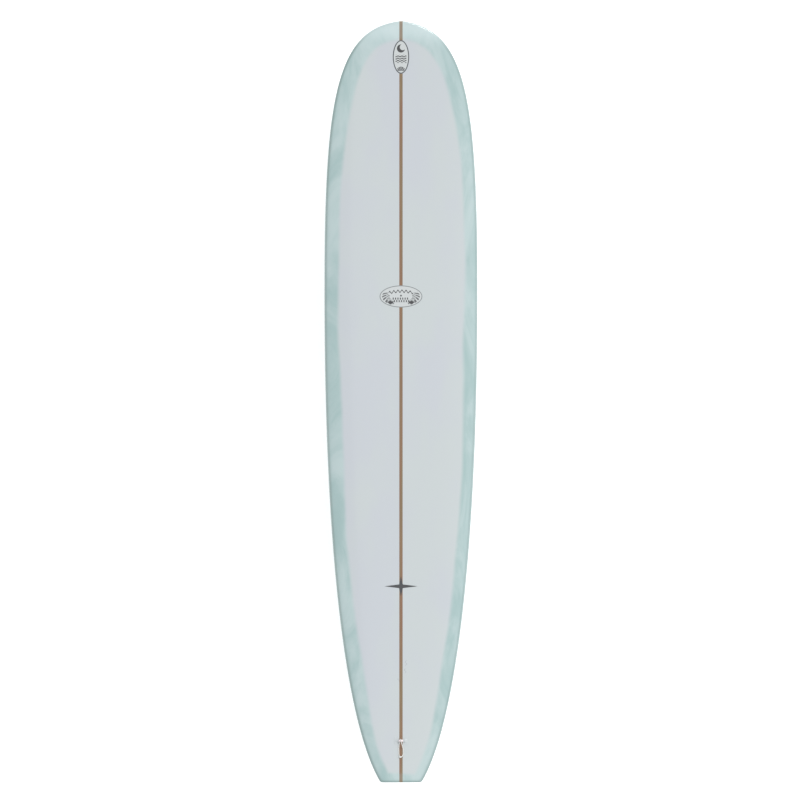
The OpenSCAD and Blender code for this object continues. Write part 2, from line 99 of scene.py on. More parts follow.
def curve_t(points, y):
    """The t at which a curve that runs towards the tail passes y."""
    start, end = 0.0, 1.0
    for _ in range(40):
        middle = (start + end) / 2
        if bezier(points, middle).y > y:
            start = middle
        else:
            end = middle
    return start


def round_off(distance, radius):
    """How far a quarter circle has still to rise, this distance into it."""
    return 0 if distance >= radius else radius - math.sqrt(radius**2 - (radius - max(0, distance)) ** 2)


def outline(y):
    """Half the board's width at y."""
    if y >= HALF_LENGTH:
        return STRINGER_HALF
    if y > WIDE_POINT:
        return bezier(NOSE_CURVE, curve_t(NOSE_CURVE, y)).x
    return bezier(TAIL_CURVE, curve_t(TAIL_CURVE, y)).x - round_off(y + HALF_LENGTH, TAIL_CORNER)


def rocker(y):
    if y < 0:
        return TAIL_ROCKER * (-y / HALF_LENGTH) ** TAIL_ROCKER_POWER
    return NOSE_ROCKER * (y / HALF_LENGTH) ** NOSE_ROCKER_POWER


def foil(y):
    end = TAIL_THICKNESS if y < 0 else NOSE_THICKNESS
    return THICKNESS - (THICKNESS - end) * (abs(y) / HALF_LENGTH) ** FOIL_POWER


def closing(y):
    """The share of its thickness that the board keeps near its two ends."""
    nose = 1 - round_off(HALF_LENGTH - y, TIP_RADIUS) / TIP_RADIUS
    tail = 1 - round_off(y + HALF_LENGTH, TAIL_EDGE_RADIUS) / TAIL_EDGE_RADIUS
    return (TIP_SHARE + (1 - TIP_SHARE) * nose) * (TAIL_EDGE_SHARE + (1 - TAIL_EDGE_SHARE) * tail)


def rail_z(y):
    return rocker(y) + RAIL_HEIGHT * foil(y)


def deck_z(x, y):
    across = min(1, max(0, (abs(x) - STRINGER_HALF) / (outline(y) - STRINGER_HALF)))
    crown = (1 - across**DECK_SQUARE) ** (1 / DECK_SQUARE)
    return rail_z(y) + (1 - RAIL_HEIGHT) * foil(y) * closing(y) * crown


def bottom_z(y):
    return rail_z(y) - RAIL_HEIGHT * foil(y) * closing(y)


def tilted_frame(height, y):
    """A frame at y on the stringer line of the deck or the bottom, with its Z square to the surface there."""
    step = 0.001
    slope = math.atan2(height(y + step) - height(y - step), 2 * step)
    return Matrix.Translation((0, y, height(y))) @ Matrix.Rotation(slope, 4, "X")


LEASH_FRAME = tilted_frame(lambda y: deck_z(0, y), LEASH_Y)
BOX_FRAME = tilted_frame(bottom_z, FIN_BOX_Y)


# ---- Camera ----

LENS, SENSOR = 200, 36
VIEW_HEIGHT, DECK_LEVEL = 3.06, 0.09
camera = bpy.data.objects.new("camera", bpy.data.cameras.new("camera"))
camera.data.lens, camera.data.sensor_width = LENS, SENSOR
camera.location = (-0.0037, 0.0014, DECK_LEVEL + VIEW_HEIGHT * LENS / SENSOR)
camera.data.clip_end = 50
bpy.context.collection.objects.link(camera)
bpy.context.scene.camera = camera


# ---- Modelling helpers ----


def deselect():
    bpy.ops.object.select_all(action="DESELECT")


def finished(name, body, finish, slot, *nodes):
    """Names the active object, gives it its finish, hangs it on its body and hides the frame's pieces that it
    stands in for.
    """
    piece = bpy.context.object
    piece.name = piece.data.name = name
    piece.data.materials.clear()
    piece.data.materials.append(finish)
    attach(piece, body)
    if nodes:
        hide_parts(*nodes)
    return piece


def apply_modifier(kind, **settings):
    piece = bpy.context.object
    modifier = piece.modifiers.new(kind.lower(), kind)
    for key, value in settings.items():
        setattr(modifier, key, value)
    bpy.ops.object.modifier_apply(modifier=modifier.name)


def shaped_grid(columns, rows, place):
    """A flat grid whose points are each moved to place(column, row)."""
    deselect()
    bpy.ops.mesh.primitive_grid_add(x_subdivisions=columns, y_subdivisions=rows, size=2)
    for vertex in bpy.context.object.data.vertices:
        column = round((vertex.co.x + 1) / 2 * columns)
        row = round((vertex.co.y + 1) / 2 * rows)
        vertex.co = place(column, row)
    return bpy.context.object


def smooth(angle=40):
    bpy.ops.object.shade_smooth_by_angle(angle=math.radians(angle))


def placed(matrix):
    """Moves the active object's mesh into the board's frame."""
    bpy.context.object.data.transform(matrix)


def tube(name, path, radius, sides, closed_ends=True):
    """A round tube along a path, with UVs that run round it and, in metres, along it."""
    path = [Vector(p) for p in path]
    mesh = bpy.data.meshes.new(name)
    vertices, run = [], [0.0]
    side = Vector((1, 0, 0.02))
    for i, point in enumerate(path):
        along = (path[min(i + 1, len(path) - 1)] - path[max(i - 1, 0)]).normalized()
        side = (side - along * side.dot(along)).normalized()
        up = along.cross(side)
        for k in range(sides):
            turn = 2 * math.pi * k / sides
            vertices.append(point + radius * (math.cos(turn) * side + math.sin(turn) * up))
        if i:
            run.append(run[-1] + (point - path[i - 1]).length)
    faces = [
        (i * sides + k, i * sides + (k + 1) % sides, (i + 1) * sides + (k + 1) % sides, (i + 1) * sides + k)
        for i in range(len(path) - 1)
        for k in range(sides)
    ]
    if closed_ends:
        faces.append(tuple(range(sides - 1, -1, -1)))
        faces.append(tuple((len(path) - 1) * sides + k for k in range(sides)))
    mesh.from_pydata(vertices, [], faces)
    uv = mesh.uv_layers.new(name="UVMap")
    for polygon in mesh.polygons:
        seam = {loop % sides for loop in polygon.vertices} >= {0, sides - 1}
        for corner in polygon.loop_indices:
            i, k = divmod(mesh.loops[corner].vertex_index, sides)
            uv.data[corner].uv = ((k or (sides if seam else 0)) / sides, run[i])
    piece = bpy.data.objects.new(name, mesh)
    bpy.context.collection.objects.link(piece)
    deselect()
    piece.select_set(True)
    bpy.context.view_layer.objects.active = piece
    smooth(60)
    return piece


def spread(points, per_stretch):
    """Points along a smooth curve through the given ones."""
    points = [Vector(p) for p in points]
    full = [2 * points[0] - points[1], *points, 2 * points[-1] - points[-2]]
    made = []
    for a, b, c, d in zip(full, full[1:], full[2:], full[3:]):
        for n in range(per_stretch):
            t = n / per_stretch
            made.append(
                0.5 * (2 * b + (c - a) * t + (2 * a - 5 * b + 4 * c - d) * t**2 + (3 * b - a - 3 * c + d) * t**3)
            )
    return [*made, points[-1]]


# ---- Finishes ----


class Wire:
    """A socket whose maths is written as an expression."""

    def __init__(self, finish, socket):
        self.finish, self.socket = finish, socket

    def maths(self, operation, *values):
        inputs = dict(enumerate(values))
        return self.finish.node("ShaderNodeMath", {"operation": operation}, inputs)

    def __add__(self, other):
        return self.maths("ADD", self, other)

    def __sub__(self, other):
        return self.maths("SUBTRACT", self, other)

    def __rsub__(self, other):
        return self.maths("SUBTRACT", other, self)

    def __mul__(self, other):
        return self.maths("MULTIPLY", self, other)

    __radd__, __rmul__ = __add__, __mul__

    def __truediv__(self, other):
        return self.maths("DIVIDE", self, other)

    def __pow__(self, other):
        return self.maths("POWER", self, other)

    def __abs__(self):
        return self.maths("ABSOLUTE", self)

    def sine(self):
        return self.maths("SINE", self)

    def greatest(self, other):
        return self.maths("MAXIMUM", self, other)


def shader_socket(word):
    """The Principled shader's own spelling of a socket's name."""
    return "IOR" if word == "ior" else word.replace("_", " ").title()


class Finish:
    """A material on a Principled shader, with constants set on its own sockets."""

    def __init__(self, name, **constants):
        self.material = bpy.data.materials.new(name)
        self.material.use_nodes = True
        self.tree = self.material.node_tree
        self.shader = next(n for n in self.tree.nodes if n.type == "BSDF_PRINCIPLED")
        for socket, value in constants.items():
            self.shader.inputs[shader_socket(socket)].default_value = value
        self.place = self.node("ShaderNodeTexCoord", {}, {}, "Object")

    def node(self, kind, settings=None, inputs=None, output=0):
        made = self.tree.nodes.new(kind)
        for key, value in (settings or {}).items():
            setattr(made, key, value)
        for key, value in (inputs or {}).items():
            if isinstance(value, Wire):
                self.tree.links.new(value.socket, made.inputs[key])
            else:
                made.inputs[key].default_value = value
        return Wire(self, made.outputs[output])

    def axes(self):
        """Object X, Y and Z."""
        split = self.node("ShaderNodeSeparateXYZ", {}, {0: self.place}).socket.node
        return [Wire(self, s) for s in split.outputs]

    def stretched(self, scale, turn=(0, 0, 0)):
        return self.node("ShaderNodeMapping", {}, {"Vector": self.place, "Scale": scale, "Rotation": turn})

    def noise(self, scale=(1, 1, 1), detail=3.0, roughness=0.5, distortion=0.0):
        inputs = {
            "Vector": self.stretched(scale), "Scale": 1.0, "Detail": detail,
            "Roughness": roughness, "Distortion": distortion,
        }
        return self.node("ShaderNodeTexNoise", {}, inputs, "Fac")

    def step(self, value, start, end):
        """Rises smoothly from 0 to 1 as value goes from start to end."""
        settings = {"interpolation_type": "SMOOTHSTEP"}
        return self.node("ShaderNodeMapRange", settings, {"Value": value, "From Min": start, "From Max": end})

    def mix(self, share, first, second, blend="MIX"):
        """Goes from the first colour to the second as share goes from 0 to 1."""
        first, second = (c if isinstance(c, Wire) else (*c, 1) for c in (first, second))
        settings = {"data_type": "RGBA", "blend_type": blend}
        return self.node("ShaderNodeMix", settings, {0: share, 6: first, 7: second}, 2)

    def bump(self, height, distance, strength=1.0):
        inputs = {"Height": height, "Distance": distance, "Strength": strength}
        return self.node("ShaderNodeBump", {}, inputs)

    def feed(self, **sockets):
        for socket, wire in sockets.items():
            self.tree.links.new(wire.socket, self.shader.inputs[shader_socket(socket)])
        return self.material


def srgb(*channels):
    """A screen colour, 0 to 255, as a linear one."""
    return tuple(((c / 255 + 0.055) / 1.055) ** 2.4 if c > 10 else c / 255 / 12.92 for c in channels)


FOAM_COLOUR, FOAM_COOL, FOAM_WARM = srgb(195, 201, 204), srgb(193, 198, 204), srgb(194, 201, 202)
# The deeper lap tint also serves as painted shade along the rails, and the rail line colour is painted shade on
# the rail's outer edge.
LAP_COLOUR, LAP_DEEP_AND_RAIL_SHADE, RAIL_EDGE_PAINTED_SHADE = srgb(180, 199, 199), srgb(155, 182, 181), srgb(112, 136, 133)
PENCIL_COLOUR = srgb(120, 124, 134)
INK_COLOUR, PRINT_DARK, PRINT_GREY = srgb(38, 40, 44), srgb(58, 66, 72), srgb(112, 118, 120)
WEAVE = 2600
WOOD_LIGHT, WOOD_DARK, WOOD_RED = srgb(150, 124, 86), srgb(96, 76, 52), srgb(132, 86, 60)


def wood(finish):
    """Grain of the stringer, running along the board."""
    grain = finish.noise((700, 6, 300), 4, 0.6)
    figure = finish.noise((60, 1.6, 40), 3, 0.5, 0.4)
    colour = finish.mix(grain, WOOD_DARK, WOOD_LIGHT)
    return finish.mix(finish.step(figure, 0.42, 0.62) * 0.6, colour, WOOD_RED)


def stringer_share(finish):
    """1 on the wood and 0 on the foam, with a thin glue line between."""
    x = abs(finish.axes()[0])
    return 1 - finish.step(x, STRINGER_HALF - 0.0002, STRINGER_HALF + 0.0002)


def pencil_share(finish, x, y):
    """A faint pencil squiggle that the shaper left beside the stringer, near the tail."""
    strokes = None
    for across, height, reach in ((0.019, -0.995, 0.007), (0.016, -1.025, 0.005), (-0.009, -1.06, 0.003)):
        wander = (x - across) + 0.003 * ((y - height) * 420).sine()
        line = 1 - finish.step(abs(wander), 0.0004, 0.0016)
        line *= 1 - finish.step(abs(y - height), reach, reach + 0.006)
        strokes = line if strokes is None else strokes.greatest(line)
    return strokes * 0.45


def glassed_finish(name, tinted):
    """Foam and stringer under clear glass. The tinted glass covers "all" of it, the "laps" or "none". The tint
    carries painted shade along the rails and a painted highlight towards the nose.
    """
    finish = Finish(name, coat_weight=1.0, coat_roughness=0.05, ior=1.45)
    x, y, _ = finish.axes()
    cloudy = finish.noise((5, 2.2, 5), 3, 0.55)
    cells = finish.noise((420, 420, 420), 2, 0.6)
    foam = finish.mix(finish.step(cloudy, 0.35, 0.65), FOAM_COOL, FOAM_WARM)
    foam = finish.mix(cells * 0.08, foam, srgb(150, 158, 160))
    if tinted == "laps":
        foam = finish.mix(pencil_share(finish, x, y), foam, PENCIL_COLOUR)
    on_wood = stringer_share(finish)
    bare = finish.mix(on_wood, foam, wood(finish))

    rail = finish.node("ShaderNodeAttribute", {"attribute_name": "from_rail"}, {}, "Fac")
    flow = finish.noise((7, 3, 7), 4, 0.6, 1.2)
    tint = finish.mix(finish.step(flow, 0.35, 0.7), LAP_COLOUR, LAP_DEEP_AND_RAIL_SHADE)
    # Painted shade: the tint darkens within 22 mm of the rail, towards the deeper lap colour.
    painted_rail_shade = 1 - finish.step(rail, 0.0, 0.022)
    tint = finish.mix(painted_rail_shade * 0.6, tint, LAP_DEEP_AND_RAIL_SHADE)
    # Painted shade: a dark line along the outermost few mm of the rail, heavier on the left rail, which faces
    # away from the key light.
    tint = finish.mix((1 - finish.step(rail, 0.001, 0.014)) * (0.75 - x * 0.7), tint, RAIL_EDGE_PAINTED_SHADE)
    # Painted highlight: the tint lightens to a pale mint over the last 90 mm towards the nose tip.
    nose_painted_highlight = finish.step(y, 1.33, 1.42)
    tint = finish.mix(nose_painted_highlight * 0.66, tint, srgb(206, 222, 223))
    if tinted == "all":
        lapped = 0.9 + 0.1 * flow
    elif tinted == "laps":
        drift = finish.noise((3.2, 1.6, 3.2), 2, 0.5)
        wide_nose = finish.step(y, 0.8, 1.2) * 0.009
        narrow_tail = (1 - finish.step(y, -1.38, -1.0)) * 0.011
        edge = rail - wide_nose + narrow_tail + (drift - 0.5) * 0.04 + x * 0.012
        lapped = 1 - finish.step(edge, LAP - 0.012, LAP + 0.008)
    colour = bare
    if tinted != "none":
        cover = lapped * (1 - 0.85 * on_wood) * (0.86 + 0.14 * flow)
        colour = finish.mix(cover, bare, tint)

    weave = (x * WEAVE).sine() * (y * WEAVE).sine()
    ripple = finish.noise((16, 9, 16), 3, 0.5)
    return finish.feed(
        base_color=colour,
        roughness=0.3 + 0.1 * cloudy,
        normal=finish.bump(ripple * 0.9 + weave * 0.02, 0.0004, 0.5),
    )


def foam_finish():
    finish = Finish("foam", roughness=0.8)
    cells = finish.noise((600, 600, 600), 3, 0.7)
    cloudy = finish.noise((8, 8, 8))
    colour = finish.mix(cloudy, srgb(226, 224, 212), srgb(238, 237, 228))
    return finish.feed(base_color=colour, normal=finish.bump(cells, 0.0003))


def wood_finish():
    finish = Finish("stringer_wood", roughness=0.5)
    grain = finish.noise((700, 6, 300), 4, 0.6)
    return finish.feed(base_color=wood(finish), normal=finish.bump(grain, 0.0001), roughness=0.4 + 0.2 * grain)


def moulded_finish(name, light, dark, roughness=0.4, grain=900, coat=0.0):
    """Cast or moulded plastic and resin."""
    finish = Finish(name, coat_weight=coat, coat_roughness=0.08)
    cloudy = finish.noise((40, 40, 40), 3)
    fine = finish.noise((grain, grain, grain), 3, 0.6)
    return finish.feed(
        base_color=finish.mix(cloudy, dark, light),
        roughness=roughness + 0.14 * (fine - 0.5),
        normal=finish.bump(fine, 0.00006),
    )


def fin_finish():
    """Hand laid glass cloth in tinted resin."""
    finish = Finish("fin_laminate", coat_weight=1.0, coat_roughness=0.05, ior=1.5)
    _, y, z = finish.axes()
    weave = (y * 1500).sine() * (z * 1500).sine()
    flow = finish.noise((9, 22, 14), 4, 0.6, 1.5)
    colour = finish.mix(flow, srgb(96, 158, 156), srgb(140, 190, 184))
    colour = finish.mix(finish.step(weave, 0.1, 0.9) * 0.25, colour, srgb(188, 214, 208))
    return finish.feed(
        base_color=colour, roughness=0.22 + 0.1 * flow, normal=finish.bump(weave * 0.3 + flow, 0.0002),
    )


def metal_finish(name, light, dark, roughness):
    finish = Finish(name, metallic=1.0)
    brushed = finish.noise((2500, 300, 2500), 3, 0.6)
    stain = finish.noise((260, 260, 260), 3, 0.6)
    return finish.feed(
        base_color=finish.mix(stain, dark, light),
        roughness=roughness + 0.18 * brushed,
        normal=finish.bump(brushed, 0.00003),
    )


def string_finish():
    """Braided cord: two sets of strands that cross round it."""
    finish = Finish("braided_string", roughness=0.75, sheen_weight=0.3)
    uv = finish.node("ShaderNodeUVMap", {"uv_map": "UVMap"})
    split = finish.node("ShaderNodeSeparateXYZ", {}, {0: uv}).socket.node
    around, along = (Wire(finish, s) for s in split.outputs[:2])
    strands, pitch = 4, 900
    left = (around * (2 * math.pi * strands) + along * pitch * 2).sine()
    right = (around * (2 * math.pi * strands) - along * pitch * 2).sine()
    braid = left.greatest(right)
    # Painted shade: the white cord turns grey in the grooves between the strands and stays lightest on their
    # crowns.
    colour = finish.mix(finish.step(braid, -0.4, 0.8), srgb(206, 206, 202), srgb(252, 252, 248))
    return finish.feed(base_color=colour, normal=finish.bump(braid, 0.0003))


def loop_finish():
    """Resin-soaked glass rovings, pale pink at the crown and clear over the deck at the feet."""
    finish = Finish("loop_laminate", coat_weight=1.0, coat_roughness=0.06)
    x, _, _ = finish.axes()
    fibres = finish.noise((120, 2200, 400), 3, 0.6)
    foot = finish.step(abs(x), 0.0065, 0.0095)
    colour = finish.mix(foot, srgb(246, 230, 232), FOAM_COLOUR)
    colour = finish.mix(fibres * 0.2, colour, srgb(206, 198, 198))
    return finish.feed(base_color=colour, roughness=0.3 + 0.15 * fibres, normal=finish.bump(fibres, 0.0001))


def rim_distance(x, y, half_x, half_y):
    """Roughly how far a point lies inside an oval's edge, in metres."""
    u, v = x / half_x, y / half_y
    radius = (u * u + v * v) ** 0.5
    steepness = (u * u / half_x**2 + v * v / half_y**2) ** 0.5
    return (1 - radius) * radius / (steepness + 0.001)


def band(finish, value, start, end, edge=0.0003):
    """1 where value lies between start and end."""
    return finish.step(value, start - edge, start + edge) * (1 - finish.step(value, end - edge, end + edge))


def spot(finish, x, y, radius):
    return 1 - finish.step((x * x + y * y) ** 0.5, radius - 0.0003, radius + 0.0003)


def decal_finish(name, centre_y, half_x, half_y, ring, ring_colour, motif):
    """Pale rice paper under gloss, with a printed ring round its edge and a plain ornament inside."""
    finish = Finish(name, coat_weight=1.0, coat_roughness=0.05)
    x, y, _ = finish.axes()
    y = y - centre_y
    rim = rim_distance(x, y, half_x, half_y)
    fibre = finish.noise((300, 300, 300), 3, 0.6)
    paper = finish.mix(fibre, srgb(186, 191, 192), srgb(206, 210, 210))
    colour = finish.mix(motif(finish, x, y) * band(finish, rim, ring + 0.001, 1), paper, INK_COLOUR)
    colour = finish.mix(band(finish, rim, 0.0004, ring), colour, ring_colour)
    return finish.feed(base_color=colour, roughness=0.35 + 0.1 * fibre)


def moon_and_waves(finish, x, y):
    """A crescent moon over three rolling waves and a scallop shell."""
    moon = spot(finish, x, y - 0.032, 0.0155) * (1 - spot(finish, x - 0.007, y - 0.037, 0.0115))
    swell = y - 0.0018 * (x * 420).sine()
    waves = band(finish, (swell * (2 * math.pi / 0.0085)).sine(), 0.1, 2, 0.1)
    waves *= band(finish, y, -0.0225, 0.008) * band(finish, abs(x), -1, 0.021)
    ribs = (y + 0.053).maths("ARCTAN2", y + 0.053, x)
    shell = spot(finish, x, y + 0.053, 0.0165) * band(finish, y, -0.053, 0)
    shell *= band(finish, (ribs * 13).sine(), -0.6, 2, 0.2)
    return moon.greatest(waves).greatest(shell)


def sprays_and_scroll(finish, x, y):
    """Two leafy sprays that curl up the sides, a wave scroll above and rows of beads between them."""
    around = y.maths("ARCTAN2", y * 1.95, abs(x))
    radius = (x * x + y * y * 3.8) ** 0.5
    outer = band(finish, (around * 21 + radius * 300).sine(), -0.2, 2, 0.2)
    outer *= band(finish, radius, 0.056, 0.072, 0.001) * band(finish, around, -1.1, 0.5, 0.03)
    inner = band(finish, (around * 24 - radius * 320).sine(), 0.0, 2, 0.2)
    inner *= band(finish, radius, 0.043, 0.055, 0.001) * band(finish, around, -0.95, 0.3, 0.03)
    foot = band(finish, radius, 0.05, 0.068, 0.001) * band(finish, around, -1.0, -0.65, 0.03)
    arch = y - 0.02 + x * x * 3
    scroll = band(finish, abs(arch - 0.0042 * (x * 400).sine()), -1, 0.0023)
    scroll *= band(finish, abs(x), -1, 0.047)
    beads = band(finish, (x * 690).sine() * ((y + 0.0035) * 330).sine(), 0.15, 2, 0.1)
    beads *= band(finish, y, -0.0235, -0.0035) * band(finish, abs(x), -1, 0.032)
    jewel = band(finish, abs(x) + abs(y - 0.003), -1, 0.0042)
    ink = foot.greatest(scroll).greatest(beads).greatest(jewel)
    return ink.greatest(outer * 0.85).greatest(inner * 0.75)


def ink_finish():
    finish = Finish("decal_ink", coat_weight=1.0, coat_roughness=0.05)
    fibre = finish.noise((400, 400, 400), 3, 0.6)
    return finish.feed(
        base_color=finish.mix(fibre, srgb(34, 36, 40), srgb(58, 60, 64)), roughness=0.35 + 0.15 * fibre,
    )


# ---- Leash string ----

CROWN_TURN, CROWN_HEIGHT = 6.2, 10.4
ROUTE_MM = [
    (-3.5, -61.5, 3.8), (-6.2, -57.6, 3), (-7.8, -50.5, 2.2), (-8.4, -41, 2), (-8.4, -32, 2),
    (-7.9, -24, 2), (-6.9, -16.5, 2.3), (-5.6, -9.5, 3.1), (-3.8, -4, 3.9),
    *(
        (
            -3 + 3.2 * a / 180, CROWN_TURN * math.sin(math.radians(a)),
            CROWN_HEIGHT - CROWN_TURN * math.cos(math.radians(a)),
        )
        for a in range(0, 181, 30)
    ),
    (0.9, -5.5, 16.2), (2.5, -11.5, 14), (4.6, -18, 10.6), (6.6, -25, 7), (8, -32, 4.2),
    (8.8, -39.5, 2.5), (8.8, -47, 2), (7.6, -53.6, 2.2), (4.6, -59, 3.1), (-0.5, -61.8, 3.8),
]
string_path = [LEASH_FRAME @ (Vector(p) / 1000) for p in spread(ROUTE_MM, 5)]
string_length = sum((b - a).length for a, b in zip(string_path, string_path[1:]))
braid = string_finish()
string = tube("leash_string_braid", string_path, STRING_DIAMETER / 2, 14)
finished("leash_string_braid", "leash", braid, "string", "leash_string")

# The knot: three turns of the string wound round itself.
KNOT_CENTRE, KNOT_TURNS, KNOT_RADIUS, KNOT_HALF, KNOT_STEPS = Vector((-2, -61.7, 4.2)), 3, 2.1, 3.4, 72
knot_path = []
for n in range(KNOT_STEPS + 1):
    turn = 2 * math.pi * KNOT_TURNS * n / KNOT_STEPS
    along = KNOT_HALF * (2 * n / KNOT_STEPS - 1)
    offset = Vector((along, KNOT_RADIUS * math.cos(turn), KNOT_RADIUS * math.sin(turn)))
    knot_path.append(LEASH_FRAME @ ((KNOT_CENTRE + offset) / 1000))
knot = tube("leash_knot_turns", knot_path, STRING_DIAMETER / 2, 12)
finished("leash_knot_turns", "leash", braid, "string", "leash_knot")
tuple(string_path[0])
[tuple(p) for p in string_path]


# ---- Skins of the board ----

SIDE_COLUMNS = 30
TAIL_ROWS, NOSE_ROWS = 110, 130


def board_rows():
    """Stations from tail to nose as (y, share of the way down to the rail line)."""
    tail = [bezier(TAIL_CURVE, 1 - n / TAIL_ROWS).y for n in range(TAIL_ROWS + 1)]
    tail[1:1] = [-HALF_LENGTH + TAIL_CORNER * s for s in (0.03, 0.1, 0.2, 0.35, 0.55, 0.8)]
    nose = [bezier(NOSE_CURVE, 1 - n / NOSE_ROWS).y for n in range(1, NOSE_ROWS + 1)]
    ys = sorted({round(y, 7) for y in tail + nose})
    return [(-HALF_LENGTH, 1), (-HALF_LENGTH, 0.5), *((y, 0) for y in ys), (HALF_LENGTH, 0.5), (HALF_LENGTH, 1)]


def skin(upper):
    """The outside of the deck or of the bottom, out to the line of the rails."""
    rows = board_rows()
    widths = [outline(y) for y, _ in rows]
    columns = 2 * SIDE_COLUMNS - 1
    power = 2 / (DECK_SQUARE if upper else BOTTOM_SQUARE)
    share = (1 - RAIL_HEIGHT) if upper else -RAIL_HEIGHT

    def place(column, row):
        y, drop = rows[row]
        side = 1 if column >= SIDE_COLUMNS else -1
        k = column - SIDE_COLUMNS if side > 0 else SIDE_COLUMNS - 1 - column
        angle = math.pi / 2 * k / (SIDE_COLUMNS - 1)
        x = STRINGER_HALF + (widths[row] - STRINGER_HALF) * math.sin(angle) ** power
        rise = max(0, math.cos(angle)) ** power * closing(y) * foil(y) * share
        return side * x * (1 if upper else -1), y, rail_z(y) + rise * (1 - drop)

    piece = shaped_grid(columns, len(rows) - 1, place)
    measure_from_rail(piece)
    apply_modifier("SOLIDIFY", thickness=SKIN, offset=-1, use_even_offset=False)
    smooth(50)
    return piece


def measure_from_rail(piece):
    """Stores each point's distance in from the board's outline, seen from above."""
    line = [(outline(y), y) for y in np.linspace(-HALF_LENGTH, HALF_LENGTH - 0.0005, 500)]
    line += [tuple(bezier(NOSE_CURVE, t)) for t in np.linspace(0, 0.4, 160)]
    line = np.array(line)
    at = np.array([(abs(v.co.x), v.co.y) for v in piece.data.vertices])
    distance = np.concatenate([
        np.sqrt(((part[:, None] - line[None]) ** 2).sum(2)).min(1) for part in np.array_split(at, 40)
    ])
    distance = np.minimum(distance, (at[:, 1] + HALF_LENGTH) * LAP / TAIL_LAP)
    attribute = piece.data.attributes.new("from_rail", "FLOAT", "POINT")
    attribute.data.foreach_set("value", distance.astype(np.float32))


deck = skin(upper=True)
finished(
    "deck_skin", "board", glassed_finish("deck_glassed", "laps"), "gloss_resin", "deck_gloss_coat", "deck_glass",
)

bottom = skin(upper=False)
RESIN_LENGTH, RESIN_WIDTH, RESIN_DEPTH = 0.2718, 0.0298, 0.03


def box_cutter(length, width, depth):
    """A bar with round ends through the bottom, at the fin box."""
    deselect()
    bpy.ops.mesh.primitive_cylinder_add(vertices=96, radius=width / 2, depth=2 * depth)
    cutter = bpy.context.object
    for vertex in cutter.data.vertices:
        vertex.co.y += math.copysign((length - width) / 2, vertex.co.y)
    placed(BOX_FRAME)
    return cutter


cutter = box_cutter(RESIN_LENGTH, RESIN_WIDTH, RESIN_DEPTH)
deselect()
bottom.select_set(True)
bpy.context.view_layer.objects.active = bottom
apply_modifier("BOOLEAN", operation="DIFFERENCE", object=cutter, solver="EXACT")
bpy.data.objects.remove(cutter)
finished(
    "bottom_skin", "board", glassed_finish("bottom_glassed", "all"), "tinted_glass_cloth",
    "bottom_gloss_coat", "bottom_glass",
)


# ---- Fin ----

FIN_HEIGHT, FIN_THICKNESS, FIN_BASE_DEPTH = 0.236, 0.0091, 0.0205
FIN_FRONT, FIN_BACK = 0.084, -0.082
LEADING_EDGE = [(FIN_FRONT, 0), (0.064, -0.4 * FIN_HEIGHT), (0.022, -FIN_HEIGHT), (-0.062, -FIN_HEIGHT)]
TRAILING_EDGE = [
    (FIN_BACK, 0), (-0.058, -0.27 * FIN_HEIGHT), (-0.122, -0.68 * FIN_HEIGHT), (-0.084, -0.985 * FIN_HEIGHT),
]
FIN_COLUMNS, FIN_ROWS = 48, 40
FIN_TIP_ROUND, FIN_TIP_RUN, FIN_TIP_SHARE = 0.05, 0.14, 0.6


def fin_point(column, row):
    """A point on the blade: columns go round its section from the trailing edge, rows from root to tip."""
    t = max(0, (row - 1) / (FIN_ROWS - 1))
    round_tip = 1 - round_off(1 - t, FIN_TIP_ROUND) / FIN_TIP_ROUND
    turn = 2 * column / FIN_COLUMNS - 1
    s = turn * turn
    front, back = bezier(LEADING_EDGE, t), bezier(TRAILING_EDGE, t)
    corner = max(0, (t - 1 + FIN_TIP_RUN) / FIN_TIP_RUN)
    back += (front - back) * FIN_TIP_SHARE * (1 - math.sqrt(max(0, 1 - corner * corner)))
    half = FIN_THICKNESS / 2 * (0.97 - 0.63 * t) * 2.6 * math.sqrt(s) * (1 - s) * (1 - 0.15 * s) * round_tip
    half = min(half, FIN_THICKNESS / 2)
    y, z = front + (back - front) * s
    return BOX_FRAME @ Vector((math.copysign(half, turn) if s < 1 else 0, y, z + (0.001 if row == 0 else 0)))


fin = shaped_grid(FIN_COLUMNS, FIN_ROWS, fin_point)
bpy.ops.object.mode_set(mode="EDIT")
bpy.ops.mesh.select_all(action="SELECT")
bpy.ops.mesh.remove_doubles(threshold=0.00002)
bpy.ops.mesh.select_all(action="DESELECT")
bpy.ops.mesh.select_non_manifold()
bpy.ops.mesh.edge_face_add()
bpy.ops.mesh.select_all(action="SELECT")
bpy.ops.mesh.normals_make_consistent(inside=False)
bpy.ops.object.mode_set(mode="OBJECT")
smooth(50)
blade = bpy.context.object

TAB_LENGTH, TAB_THICKNESS = 0.021, 0.0042
SCREW_Y, COUNTERBORE_RADIUS, COUNTERBORE_DEPTH = 0.096, 0.0042, 0.0044


def block(size, centre, edge):
    """A box with rounded edges in the fin box's frame."""
    deselect()
    bpy.ops.mesh.primitive_cube_add(size=1)
    placed(BOX_FRAME @ Matrix.Translation(centre) @ Matrix.Diagonal((*size, 1)))
    apply_modifier("BEVEL", width=edge, segments=2)
    return bpy.context.object


